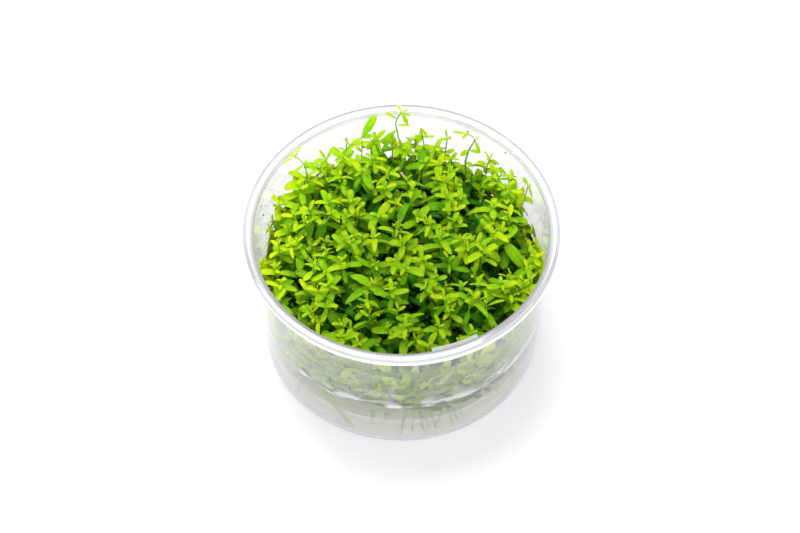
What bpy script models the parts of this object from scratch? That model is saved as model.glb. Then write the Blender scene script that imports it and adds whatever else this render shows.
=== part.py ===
"""Pearl weed grown in sterile culture, in its clear plastic cup.

The cup stands on its foot ring, with the origin at the middle of its underside and +Z up.
A block of nutrient gel fills its bottom third. Small plantlets stand in the gel from wall to wall.
Each plantlet has one to five shoots that fork from its crown, with whorls of three leaves.
Lengths are in metres.
"""

import math
import random

import bmesh
import bpy
from mathutils import Vector
from mathutils.bvhtree import BVHTree

MM = 0.001
GAP = 0.3 * MM  # left between pieces that touch
TURN_STEPS = 60

# Cup, an injection moulding with a draft, a flanged rim and a foot ring
CUP_HEIGHT = 57 * MM
WALL = 0.9 * MM
FLOOR = 1.3 * MM
BASE_RADIUS = 45.6 * MM  # outside, just above the rounded heel
NECK_RADIUS = 47.9 * MM  # outside, under the rim
HEEL_HEIGHT = 3.2 * MM
HEEL_RADIUS = 2.6 * MM
HEEL_START = -15  # degrees below level, where the wall runs into the heel
HEEL_END = -75
NECK_HEIGHT = CUP_HEIGHT - 1.5 * MM
RIM_RADIUS = 50 * MM
RIM_BEVEL = 1.3 * MM  # slope on the rim's inner edge
RIM_THICKNESS = 0.9 * MM
RIM_ROUND = 0.6 * MM
LIP_DROP = 2.7 * MM
FOOT_INNER = 39.9 * MM
FOOT_OUTER = 43 * MM
FOOT_RISE = 0.7 * MM  # the underside stands this far clear of the table

# Catch inside the rim, a short ledge
CATCH_START = math.radians(-78.5)
CATCH_ARC = math.radians(18.5)
CATCH_REACH = 1.0 * MM
CATCH_HEIGHT = 1.4 * MM
CATCH_STEPS = 4

# Gel
GEL_TOP = 20 * MM
GEL_RISE = 0.9 * MM  # the gel creeps up the wall
GEL_CORNER = 1.6 * MM

# Canopy and plantlets
SEED = 7
SHOOTS = 84
PLANTLETS = 44
STAND_RADIUS = 43.6 * MM  # the outermost shoots stand this far from the middle
PLANTLET_RADIUS = 40 * MM
GOLDEN_ANGLE = math.pi * (3 - math.sqrt(5))
CANOPY_MIDDLE = 53 * MM
CANOPY_WALL = 48.4 * MM
CANOPY_UNEVEN = 1.7 * MM
LOW_SIDE_DIP = 2.6 * MM  # the canopy is lower along the -X wall
LOW_SIDE_FROM = 30 * MM
SHOOT_WANDER = 0.8 * MM

# Shoots that stand above the canopy along the far wall: place and height of the tip
TALL_SHOOTS = (
    (0.2 * MM, 41.6 * MM, 62.4 * MM),
    (-34.0 * MM, 26.2 * MM, 59.4 * MM),
    (-12.6 * MM, 39.6 * MM, 60.6 * MM),
    (21.4 * MM, 36.6 * MM, 58.0 * MM),
    (39.0 * MM, 17.4 * MM, 56.6 * MM),
    (7.4 * MM, 40.4 * MM, 55.4 * MM),
    (-18.6 * MM, 36.6 * MM, 54.2 * MM),
    (29.0 * MM, 31.0 * MM, 54.6 * MM),
)

# Shoot and leaf
CROWN_RADIUS = 1.5 * MM
CROWN_HEIGHT = 1.2 * MM
TOP_FACING = 0.9  # the crown faces that point up this much make its top
CROWN_REACH = 41 * MM  # crowns stay this near the middle, clear of the gel's raised edge
STEM_RADIUS = 0.42 * MM
TIP_RADIUS = 0.28 * MM
STEM_TURN = math.radians(50)  # a shoot is turned about its axis by up to this much
FORK_SPREAD = 15 * MM  # height over which the shoots of a plantlet lean apart
NODE_HEIGHT = 0.55 * MM
BUD_HEIGHT = 0.9 * MM
WHORL_TWIST = math.radians(60)  # each whorl's leaves stand between those below
WHORL_DEPTHS = (1.8 * MM, 5.6 * MM, 11.5 * MM, 18 * MM)  # below the tip
LEAF_LENGTHS = (5.4 * MM, 7.4 * MM, 7.8 * MM, 7.8 * MM)
LEAF_RISES = tuple(math.radians(angle) for angle in (34, 16, 8, 4))
LENGTH_RANGE = (0.8, 1.1)  # shares of the length that leaves of one whorl vary between
RISE_RANGE = (math.radians(-8), math.radians(10))
LEAF_WIDTH_SHARE = 0.42
LEAF_DROOP_SHARE = 0.16
LEAF_WIDEST = 0.52  # share of the length
LEAF_HALF_THICKNESS = 0.25 * MM
EDGE_RADIUS = 37 * MM  # shoots outside this are seen through the wall
WHORLS_INSIDE = 2
WHORLS_AT_EDGE = 3
WHORLS_ON_TALL = 4
TALL_STEP = 2.5 * MM  # a shoot this much above the canopy counts as tall
SHORTEST_LEAF = 0.4  # share of the full length; a leaf with less room is left out
SEARCH_STEP = 0.06
SEARCH_REACH = 20 * MM


def clear_scene():
    for obj in list(bpy.data.objects):
        bpy.data.objects.remove(obj)


def linear(channel):
    value = channel / 255
    return value / 12.92 if value <= 0.04045 else ((value + 0.055) / 1.055) ** 2.4


def principled(name, rgb, roughness, transmission=0.0, ior=1.5):
    material = bpy.data.materials.new(name)
    material.use_nodes = True
    shader = material.node_tree.nodes["Principled BSDF"]
    shader.inputs["Base Color"].default_value = (*(linear(c) for c in rgb), 1)
    shader.inputs["Roughness"].default_value = roughness
    shader.inputs["Metallic"].default_value = 0
    shader.inputs["Transmission Weight"].default_value = transmission
    shader.inputs["IOR"].default_value = ior
    return material


def clear_plastic():
    return principled("clear polystyrene", (250, 251, 252), 0.04, 1.0, 1.59)


def nutrient_gel():
    return principled("nutrient gel", (226, 230, 220), 0.12, 0.9, 1.34)


def leaf_green():
    return principled("pearl weed leaf", (142, 190, 12), 0.42)


def add_object(name, mesh, material, collection):
    obj = bpy.data.objects.new(name, mesh)
    collection.objects.link(obj)
    mesh.materials.append(material)
    return obj


def turned(name, profile, material, collection):
    """A profile in the XZ plane, turned about Z."""
    mesh = bpy.data.meshes.new(name)
    points = [(radius, 0, height) for radius, height in profile]
    mesh.from_pydata(points, [(i, i + 1) for i in range(len(points) - 1)], [])
    obj = add_object(name, mesh, material, collection)
    screw = obj.modifiers.new("turn", "SCREW")
    screw.steps = TURN_STEPS
    screw.render_steps = TURN_STEPS
    screw.use_merge_vertices = True
    screw.merge_threshold = 0.000001
    screw.use_smooth_shade = True
    return obj


def arc(centre, radius, start, end, steps):
    """Points of an arc in the profile plane, from one angle to another in degrees."""
    angles = [math.radians(start + (end - start) * i / steps) for i in range(steps + 1)]
    return [(centre[0] + radius * math.cos(a), centre[1] + radius * math.sin(a)) for a in angles]


def outer_radius(height):
    share = (height - HEEL_HEIGHT) / (NECK_HEIGHT - HEEL_HEIGHT)
    return BASE_RADIUS + (NECK_RADIUS - BASE_RADIUS) * share


def inner_radius(height):
    return outer_radius(height) - WALL


def cup_profile():
    """From the middle of the inner floor, up the inner wall, over the rim and down the outside."""
    heel = (BASE_RADIUS - HEEL_RADIUS, HEEL_RADIUS)
    inner_heel = HEEL_RADIUS - WALL
    lip_inner = RIM_RADIUS - RIM_THICKNESS
    inner_top = inner_radius(CUP_HEIGHT - RIM_BEVEL)
    points = [(0, FLOOR)]
    corner = (inner_radius(HEEL_HEIGHT) - inner_heel, FLOOR + inner_heel)
    points += arc(corner, inner_heel, -90, 0, 2)
    points += [(inner_top, CUP_HEIGHT - RIM_BEVEL)]
    points += [(inner_top + RIM_BEVEL, CUP_HEIGHT)]
    points += arc((RIM_RADIUS - RIM_ROUND, CUP_HEIGHT - RIM_ROUND), RIM_ROUND, 90, 0, 2)
    points += [(RIM_RADIUS, CUP_HEIGHT - LIP_DROP)]
    points += [(lip_inner, CUP_HEIGHT - LIP_DROP)]
    points += [(lip_inner, CUP_HEIGHT - RIM_THICKNESS)]
    points += [(NECK_RADIUS, CUP_HEIGHT - RIM_THICKNESS)]
    points += [(BASE_RADIUS, HEEL_HEIGHT)]
    points += arc(heel, HEEL_RADIUS, HEEL_START, HEEL_END, 2)
    points += [(FOOT_OUTER, 0), (FOOT_INNER, 0), (FOOT_INNER - FOOT_RISE, FOOT_RISE)]
    points += [(0, FOOT_RISE)]
    return points


def catch_mesh():
    """The ledge's section, swept along its arc and rooted in the wall."""
    top = CUP_HEIGHT - RIM_BEVEL
    root = inner_radius(top) + WALL / 2
    face_radius = inner_radius(top) - CATCH_REACH
    section = (
        (face_radius, top - CATCH_HEIGHT),
        (root, top - CATCH_HEIGHT - CATCH_REACH),
        (root, top),
        (face_radius, top),
    )
    shape = bmesh.new()
    corners = [
        shape.verts.new((r * math.cos(CATCH_START), r * math.sin(CATCH_START), z)) for r, z in section
    ]
    start = shape.faces.new(corners)
    bmesh.ops.spin(
        shape,
        geom=[start, *start.edges, *start.verts],
        axis=(0, 0, 1),
        angle=CATCH_ARC,
        steps=CATCH_STEPS,
    )
    bmesh.ops.holes_fill(shape, edges=shape.edges, sides=4)
    bmesh.ops.recalc_face_normals(shape, faces=shape.faces)
    mesh = bpy.data.meshes.new("catch")
    shape.to_mesh(mesh)
    shape.free()
    return mesh


def add_cup(parts, helpers):
    plastic = clear_plastic()
    cup = turned("cup", cup_profile(), plastic, parts)
    catch = add_object("catch", catch_mesh(), plastic, helpers)
    catch.hide_render = True
    catch.display_type = "WIRE"
    join = cup.modifiers.new("catch", "BOOLEAN")
    join.operation = "UNION"
    join.object = catch


def add_gel(parts):
    low = FLOOR + GAP
    corner = (inner_radius(HEEL_HEIGHT) - GAP - GEL_CORNER, low + GEL_CORNER)
    profile = [(0, low)]
    profile += arc(corner, GEL_CORNER, -90, 0, 1)
    profile += [(inner_radius(GEL_TOP + GEL_RISE) - GAP, GEL_TOP + GEL_RISE)]
    profile += [(inner_radius(GEL_TOP) - GAP - 2 * GEL_RISE, GEL_TOP)]
    profile += [(0, GEL_TOP)]
    profile.reverse()
    turned("gel", profile, nutrient_gel(), parts)


def spiral(count, radius):
    """Points spread evenly over a disc, each a golden angle on from the last."""
    places = []
    for i in range(count):
        distance = radius * math.sqrt((i + 0.5) / count)
        angle = i * GOLDEN_ANGLE
        places.append(Vector((distance * math.cos(angle), distance * math.sin(angle))))
    return places


def canopy_height(place):
    share = place.length / STAND_RADIUS
    height = CANOPY_MIDDLE + (CANOPY_WALL - CANOPY_MIDDLE) * share**2
    dip = max(0, -place.x - LOW_SIDE_FROM) / (STAND_RADIUS - LOW_SIDE_FROM)
    return height - LOW_SIDE_DIP * dip


class Shoot:
    """One stem: where it stands at the canopy, and where its plantlet's crown is."""

    def __init__(self, place, top):
        self.place = place
        self.top = top
        self.crown = None

    def axis(self, height):
        """The stem's centre at a height, leaning from the crown to its own place."""
        share = min(1, max(0, (height - GEL_TOP) / FORK_SPREAD))
        return self.crown.lerp(self.place, share * share * (3 - 2 * share))

    def whorls(self):
        if self.top > canopy_height(self.place) + TALL_STEP:
            return WHORLS_ON_TALL
        return WHORLS_AT_EDGE if self.place.length > EDGE_RADIUS else WHORLS_INSIDE


def stand_of_shoots(chance):
    """Every shoot, evenly spread, with the tall ones in place of those nearest to them."""
    shoots = []
    for place in spiral(SHOOTS, STAND_RADIUS):
        wander = Vector((chance.uniform(-1, 1), chance.uniform(-1, 1))) * SHOOT_WANDER
        if place.length + SHOOT_WANDER < STAND_RADIUS:
            place = place + wander
        uneven = chance.uniform(-CANOPY_UNEVEN, CANOPY_UNEVEN)
        shoots.append(Shoot(place, canopy_height(place) + uneven))
    free = list(shoots)
    for x, y, top in TALL_SHOOTS:
        nearest = min(free, key=lambda shoot: (shoot.place - Vector((x, y))).length)
        free.remove(nearest)
        nearest.place = Vector((x, y))
        nearest.top = top
    return shoots


def share_out(shoots):
    """The shoots of each plantlet, which are those nearest to its place."""
    places = spiral(PLANTLETS, PLANTLET_RADIUS)
    groups = [[] for _ in places]
    for shoot in shoots:
        distances = [(shoot.place - place).length for place in places]
        groups[distances.index(min(distances))].append(shoot)
    groups = [group for group in groups if group]
    for group in groups:
        middle = sum((shoot.place for shoot in group), Vector((0, 0))) / len(group)
        middle *= min(1, CROWN_REACH / middle.length)
        for shoot in group:
            shoot.crown = middle
    return groups


class Thicket:
    """The room that stems and leaves already take, a little larger than they are."""

    def __init__(self):
        self.taken = []

    def take(self, shoot, corners, faces):
        self.taken.append((shoot, corners[0], BVHTree.FromPolygons(corners, faces)))

    def has_room(self, shoot, corners, faces):
        """Whether a shape stays inside the wall and clear of what other shoots hold."""
        for corner in corners:
            if Vector((corner.x, corner.y)).length > inner_radius(corner.z) - GAP:
                return False
        tree = BVHTree.FromPolygons(corners, faces)
        for owner, start, other in self.taken:
            near = owner is not shoot and (start - corners[0]).length < SEARCH_REACH
            if near and tree.overlap(other):
                return False
        return True


def column(low_ring, high_ring):
    """Corners and faces of a column between two rings of points."""
    count = len(low_ring)
    faces = [tuple(range(count)), tuple(range(count, 2 * count))]
    faces += [(i, (i + 1) % count, (i + 1) % count + count, i + count) for i in range(count)]
    return [*low_ring, *high_ring], faces


def blade_room(outline):
    """The room of a leaf blade and half the gap that it keeps on both of its sides."""
    lift = Vector((0, 0, LEAF_HALF_THICKNESS + GAP / 2))
    return column([point - lift for point in outline], [point + lift for point in outline])


def stem_room(low, high):
    """A square post round one stretch of stem."""
    reach = STEM_RADIUS + GAP
    offsets = [Vector((x, y, 0)) * reach for x, y in ((-1, -1), (1, -1), (1, 1), (-1, 1))]
    return column([low + offset for offset in offsets], [high + offset for offset in offsets])


def ring(face, centre, radius, twist):
    """Moves a tip face's corners to a level ring, turned on from where they were."""
    first = face.verts[0].co - face.calc_center_median()
    start = math.atan2(first.y, first.x) + twist
    for i, vert in enumerate(face.verts):
        angle = start + math.tau * i / len(face.verts)
        vert.co = centre + radius * Vector((math.cos(angle), math.sin(angle), 0))


def extend(shape, face, centre, radius, twist=0.0):
    """Grows a stem on by one stretch, and returns its new tip and the faces round the stretch."""
    tip = bmesh.ops.extrude_discrete_faces(shape, faces=[face])["faces"][0]
    ring(tip, centre, radius, twist)
    tip.normal_update()
    sides = [other for edge in tip.edges for other in edge.link_faces if other is not tip]
    return tip, sides


def blade_points(root, outward, length, rise):
    """Tip and both shoulders of a leaf that leaves its root outwards and droops at its end."""
    across = outward.cross(Vector((0, 0, 1)))
    along = outward * math.cos(rise) + Vector((0, 0, math.sin(rise)))
    tip = root + along * length - Vector((0, 0, length * LEAF_DROOP_SHARE))
    middle = root + along * length * LEAF_WIDEST
    half_width = across * length * LEAF_WIDTH_SHARE / 2
    return middle - half_width, tip, middle + half_width


def leaf_that_fits(root, outward, length, rise, shoot, thicket):
    """The longest blade that has room, or None."""
    share = 1.0
    while share > SHORTEST_LEAF:
        points = blade_points(root, outward, length * share, rise)
        room = blade_room([root + outward * GAP, *points])
        if thicket.has_room(shoot, *room):
            thicket.take(shoot, *room)
            return points
        share -= SEARCH_STEP
    return None


def add_leaf(shape, side, length, rise, shoot, thicket):
    """Draws one side face of a node out into a leaf blade."""
    side.normal_update()
    root = side.calc_center_median()
    outward = Vector((side.normal.x, side.normal.y, 0)).normalized()
    points = leaf_that_fits(root, outward, length, rise, shoot, thicket)
    if points is None:
        return
    left, tip, right = (shape.verts.new(point) for point in points)
    across = outward.cross(Vector((0, 0, 1)))
    corners = sorted(side.verts, key=lambda vert: vert.co.z)
    low_left, low_right = sorted(corners[:2], key=lambda vert: vert.co.dot(across))
    high_left, high_right = sorted(corners[2:], key=lambda vert: vert.co.dot(across))
    shape.faces.remove(side)
    for blade_face in (
        (high_left, left, tip),
        (high_left, tip, high_right),
        (high_right, tip, right),
        (low_left, tip, left),
        (low_left, low_right, tip),
        (low_right, right, tip),
        (high_left, low_left, left),
        (high_right, right, low_right),
    ):
        shape.faces.new(blade_face)


def stem_heights(shoot):
    """Heights where a stem bends, and those where it bears a whorl, from the lowest up."""
    lowest = GEL_TOP + CROWN_HEIGHT + FORK_SPREAD / 3
    nodes = [shoot.top - depth for depth in reversed(WHORL_DEPTHS[: shoot.whorls()])]
    bends = [lowest, lowest + FORK_SPREAD / 2]
    return [height for height in bends if height < nodes[0] - 2 * NODE_HEIGHT], nodes


def claim_stem(shoot, thicket):
    """Takes the room of one whole stem before any leaf is set."""
    bends, nodes = stem_heights(shoot)
    heights = [GEL_TOP, *bends, *nodes, shoot.top + BUD_HEIGHT]
    for low, high in zip(heights, heights[1:]):
        ends = [Vector((*shoot.axis(height), height)) for height in (low, high)]
        thicket.take(shoot, *stem_room(*ends))


def grow_shoot(shape, face, shoot, thicket, chance):
    """One stem from its crown to its bud, with a whorl of leaves at each node."""
    bends, nodes = stem_heights(shoot)
    turn = chance.uniform(-STEM_TURN, STEM_TURN)
    for height in bends:
        face, _ = extend(shape, face, Vector((*shoot.axis(height), height)), STEM_RADIUS, turn)
    for i, height in enumerate(nodes):
        level = len(nodes) - 1 - i
        radius = STEM_RADIUS if level else TIP_RADIUS
        centre = Vector((*shoot.axis(height), height))
        face, _ = extend(shape, face, centre, radius, WHORL_TWIST)
        centre.z += NODE_HEIGHT
        face, sides = extend(shape, face, centre, radius)
        for side in sides:
            length = LEAF_LENGTHS[level] * chance.uniform(*LENGTH_RANGE)
            rise = LEAF_RISES[level] + chance.uniform(*RISE_RANGE)
            add_leaf(shape, side, length, rise, shoot, thicket)
    bud = bmesh.ops.poke(shape, faces=[face])["verts"][0]
    bud.co.z += BUD_HEIGHT


def crown(shape, group):
    """A low round crown, and one triangle of its top for each shoot, in order round it."""
    middle = group[0].crown
    sides = 2 * max(2, len(group))
    base = GEL_TOP + GAP
    made = bmesh.ops.create_cone(
        shape,
        cap_ends=True,
        cap_tris=True,
        segments=sides,
        radius1=CROWN_RADIUS,
        radius2=CROWN_RADIUS,
        depth=CROWN_HEIGHT,
    )
    bmesh.ops.translate(shape, verts=made["verts"], vec=(middle.x, middle.y, base + CROWN_HEIGHT / 2))
    shape.faces.ensure_lookup_table()
    tops = [face for face in shape.faces if face.normal.z > TOP_FACING]

    def angle(flat):
        return math.atan2(flat.y - middle.y, flat.x - middle.x)

    tops.sort(key=lambda face: angle(face.calc_center_median()))
    return tops[::2][: len(group)]


def plantlet_mesh(name, group, thicket, chance):
    shape = bmesh.new()
    middle = group[0].crown
    group = sorted(group, key=lambda s: math.atan2(s.place.y - middle.y, s.place.x - middle.x))
    for shoot, face in zip(group, crown(shape, group)):
        grow_shoot(shape, face, shoot, thicket, chance)
    bmesh.ops.recalc_face_normals(shape, faces=shape.faces)
    mesh = bpy.data.meshes.new(name)
    shape.to_mesh(mesh)
    shape.free()
    return mesh


def add_plantlets(parts):
    chance = random.Random(SEED)
    shoots = stand_of_shoots(chance)
    groups = share_out(shoots)
    thicket = Thicket()
    for shoot in shoots:
        claim_stem(shoot, thicket)
    green = leaf_green()
    for i, group in enumerate(groups):
        name = f"plantlet_{i + 1:02d}"
        add_object(name, plantlet_mesh(name, group, thicket, chance), green, parts)


def build():
    clear_scene()
    parts = bpy.data.collections.new("pearl_weed_cup")
    helpers = bpy.data.collections.new("helpers")
    for collection in (parts, helpers):
        bpy.context.scene.collection.children.link(collection)
    add_cup(parts, helpers)
    add_gel(parts)
    add_plantlets(parts)


build()
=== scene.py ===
import math
import random

import bmesh
import bpy
from mathutils import Euler, Matrix, Vector, noise
from mathutils.geometry import interpolate_bezier


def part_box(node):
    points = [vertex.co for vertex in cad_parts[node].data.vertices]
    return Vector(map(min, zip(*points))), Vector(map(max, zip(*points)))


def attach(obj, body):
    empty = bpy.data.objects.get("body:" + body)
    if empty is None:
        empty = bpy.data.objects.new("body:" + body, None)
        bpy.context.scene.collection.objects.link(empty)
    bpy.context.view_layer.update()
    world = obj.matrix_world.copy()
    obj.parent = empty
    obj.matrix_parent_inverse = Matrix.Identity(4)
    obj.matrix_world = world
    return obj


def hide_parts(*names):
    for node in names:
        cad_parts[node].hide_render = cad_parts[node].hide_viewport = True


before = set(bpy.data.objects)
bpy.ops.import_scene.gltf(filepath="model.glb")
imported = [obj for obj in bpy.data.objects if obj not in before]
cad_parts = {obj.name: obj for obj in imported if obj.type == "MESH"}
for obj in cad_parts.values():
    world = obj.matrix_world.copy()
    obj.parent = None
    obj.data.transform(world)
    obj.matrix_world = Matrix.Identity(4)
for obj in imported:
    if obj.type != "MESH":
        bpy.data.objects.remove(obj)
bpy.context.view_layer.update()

MM = 0.001


# Cup. An injection moulded drum of polystyrene, clear with a faint milky haze.
# Its wall has a draft, its rim is a flange with a turned-down lip, and it stands on a foot ring.
# The mould leaves a short catch on the inside of the rim.
_, cup_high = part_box("cup")
CUP_HEIGHT = cup_high.z
RIM_RADIUS = cup_high.x
WALL = 0.9 * MM
FLOOR = 1.3 * MM
FOOT_RISE = 0.7 * MM
BASE_RADIUS = RIM_RADIUS - 4.4 * MM  # outside, just above the heel
NECK_RADIUS = RIM_RADIUS - 2.1 * MM  # outside, under the rim
HEEL_HEIGHT = 3.2 * MM
NECK_HEIGHT = CUP_HEIGHT - 1.5 * MM
RIM_ROUNDING = 1.4 * MM  # the inside of the rim
RIM_BEAD = 0.5 * MM  # how far the rim stands in from the wall
BEAD_HEIGHT = 3.4 * MM
RIM_THICKNESS = 0.9 * MM
LIP_DROP = 2.7 * MM
FLOOR_ROUNDING = 1.7 * MM  # inside, where the wall meets the floor
BEAD_ROUNDING = 1.0 * MM
TOP_ROUNDING = 0.5 * MM  # the rim's outer edge
EDGE_ROUNDING = 0.3 * MM  # the edges of the lip and the foot ring
HOLLOW_ROUNDING = 0.25 * MM  # under the rim, behind the lip
HEEL_ROUNDING = 2.4 * MM
FOOT_INNER = 39.9 * MM
CUP_STEPS = 180
CORNER_SEGMENTS = 4
CATCH_START = math.radians(-78.5)
CATCH_ARC = math.radians(18.5)
CATCH_REACH = 1.0 * MM
CATCH_DEPTH = 0.8 * MM  # its top, below the rim
CATCH_HEIGHT = 1.4 * MM
CATCH_STEPS = 16
CATCH_BEVEL = 0.15 * MM
SHARP_ANGLE = 0.5  # radians; the catch's edges that turn by more are bevelled
WELD = 0.001 * MM
CUP_HAZE = (  # share of the height, and how milky the wall is there, from black to white
    (0.0, "#dcdcdc"), (0.02, "#c0c0c0"), (0.04, "#b0b0b0"), (0.1, "#808080"), (0.18, "#5c5c5c"),
    (0.245, "#585858"), (0.265, "#808080"), (0.285, "#444444"), (0.36, "#1c1c1c"),
    (0.7, "#181818"), (0.8, "#282828"), (0.92, "#383838"), (0.955, "#585858"),
    (0.975, "#bcbcbc"), (1.0, "#bcbcbc"),
)
LIP_HAZE = 0.75
BACK_LIP_HAZE = 0.25
FRONT_RIM_CLARITY = 0.25  # how much clearer the rim is in front, by share
FRONT_FROM = 4 * MM  # in front of the middle
FRONT_FULL = 30 * MM
LIP_DEPTH = 1.2 * MM  # how far in from the outer edge the lip's haze reaches
LIP_FULL = 0.8 * MM
EDGE_FULL = 0.9 * MM  # the line of painted shade is full from here outward
EDGE_DROP = 0.9 * MM  # and reaches this far down from the top
EDGE_DROP_FULL = 0.6 * MM
INNER_SHADE_REACH = 1.0 * MM  # how far out from the neck the painted shade on the inside reaches
# The rim's own tint, then painted shade: on its front top, its front inside and its outer edge.
CLEAN_TINT = "#fbfbfc"
FRONT_RIM_SHADE_TINT = "#d2d2d0"
INSIDE_SHADE_TINT = "#dcdce0"
EDGE_SHADE_TINT = "#c8c8cc"
SMEAR_SIZE = 8 * MM
SMEAR_FLATNESS = 2.4  # how much wider than high a smear is
SMEAR_EDGE = (0.47, 0.6)  # the noise between no film and a full one
DAMP_FROM = 22 * MM  # to the right of the middle
DAMP_FULL = 44 * MM
DAMP_SHARE = 0.9
CUP_SMEARS = (  # share of the height, and how milky a smear is there
    (0.405, "#000000"), (0.42, "#b0b0b0"), (0.47, "#a0a0a0"), (0.5, "#606060"),
    (0.6, "#585858"), (0.82, "#404040"), (0.92, "#000000"),
)


def linear(hex_colour):
    """An sRGB hex colour as linear red, green, blue and alpha."""
    channels = [int(hex_colour[i : i + 2], 16) / 255 for i in (1, 3, 5)]
    return (*(c / 12.92 if c <= 0.04045 else ((c + 0.055) / 1.055) ** 2.4 for c in channels), 1)


def add_node(tree, kind, inputs=None, stops=(), **settings):
    """Adds a node with its settings and links, and the stops of a colour ramp.

    An input is a value, an output, or a whole node, which stands for its first output in use.
    """
    node = tree.nodes.new(kind)
    for name, value in settings.items():
        setattr(node, name, value)
    for socket, value in (inputs or {}).items():
        if isinstance(value, bpy.types.Node):
            value = next(output for output in value.outputs if output.enabled)
        if isinstance(value, bpy.types.NodeSocket):
            tree.links.new(value, node.inputs[socket])
        else:
            node.inputs[socket].default_value = value
    for _ in stops[2:]:
        node.color_ramp.elements.new(0.5)
    for i, (place, colour) in enumerate(stops):
        node.color_ramp.elements[i].position = place
        node.color_ramp.elements[i].color = linear(colour)
    return node


def new_material(name, **values):
    """A material with its Principled shader set, and its node tree and shader."""
    material = bpy.data.materials.new(name)
    material.use_nodes = True
    tree = material.node_tree
    shader = tree.nodes["Principled BSDF"]
    for socket, value in values.items():
        shader.inputs[socket.replace("_", " ")].default_value = value
    return material, tree, shader


def add_object(name, data):
    """Puts an object in the scene."""
    thing = bpy.data.objects.new(name, data)
    bpy.context.scene.collection.objects.link(thing)
    return thing


def add_piece(name, mesh, nodes):
    """Puts a finished mesh in the scene in place of its solids."""
    piece = add_object(name, mesh)
    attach(piece, "root")
    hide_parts(*nodes)


def way_at(turn):
    """The level direction at a turn about the middle of the cup."""
    return Vector((math.cos(turn), math.sin(turn), 0))


def outer_radius(height):
    share = (height - HEEL_HEIGHT) / (NECK_HEIGHT - HEEL_HEIGHT)
    return BASE_RADIUS + (NECK_RADIUS - BASE_RADIUS) * share


def inner_radius(height):
    return outer_radius(height) - WALL


def round_off(shape, edges_or_corners, kind, offset, segments):
    """Rounds edges or corners off, evenly."""
    bmesh.ops.bevel(
        shape,
        geom=edges_or_corners,
        offset=offset,
        segments=segments,
        profile=0.5,
        affect=kind,
        material=-1,
    )


def turned_shape(corners, steps):
    """A section of corners, each a radius, a height and a rounding, spun about the middle."""
    shape = bmesh.new()
    verts = [shape.verts.new((radius, 0, height)) for radius, height, _ in corners]
    for first, second in zip(verts, verts[1:]):
        shape.edges.new((first, second))
    for vert, (_, _, rounding) in zip(verts, corners):
        if rounding:
            round_off(shape, [vert], "VERTICES", rounding, CORNER_SEGMENTS)
    bmesh.ops.spin(
        shape,
        geom=[*shape.verts, *shape.edges],
        axis=(0, 0, 1),
        angle=math.tau,
        steps=steps,
        use_merge=True,
    )
    bmesh.ops.remove_doubles(shape, verts=shape.verts, dist=WELD)
    bmesh.ops.recalc_face_normals(shape, faces=shape.faces)
    return shape


def to_mesh(shape, name):
    """The bmesh as a smooth mesh."""
    for face in shape.faces:
        face.smooth = True
    mesh = bpy.data.meshes.new(name)
    shape.to_mesh(mesh)
    shape.free()
    return mesh


def catch_mesh():
    """The ledge inside the rim, its section swept along the wall that it grows from."""
    top = CUP_HEIGHT - CATCH_DEPTH
    face_radius = inner_radius(top) - RIM_BEAD - CATCH_REACH
    root = inner_radius(top) + WALL / 2
    section = (
        (face_radius, top - CATCH_HEIGHT),
        (root, top - CATCH_HEIGHT - CATCH_REACH),
        (root, top),
        (face_radius, top),
    )
    shape = bmesh.new()
    way = way_at(CATCH_START)
    start = shape.faces.new([shape.verts.new((*(way.xy * radius), z)) for radius, z in section])
    bmesh.ops.spin(
        shape,
        geom=[start, *start.edges, *start.verts],
        axis=(0, 0, 1),
        angle=CATCH_ARC,
        steps=CATCH_STEPS,
    )
    bmesh.ops.holes_fill(shape, edges=shape.edges, sides=4)
    bmesh.ops.recalc_face_normals(shape, faces=shape.faces)
    sharp = [edge for edge in shape.edges if edge.calc_face_angle() > SHARP_ANGLE]
    round_off(shape, sharp, "EDGES", CATCH_BEVEL, segments=2)
    return to_mesh(shape, "catch")


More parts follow.
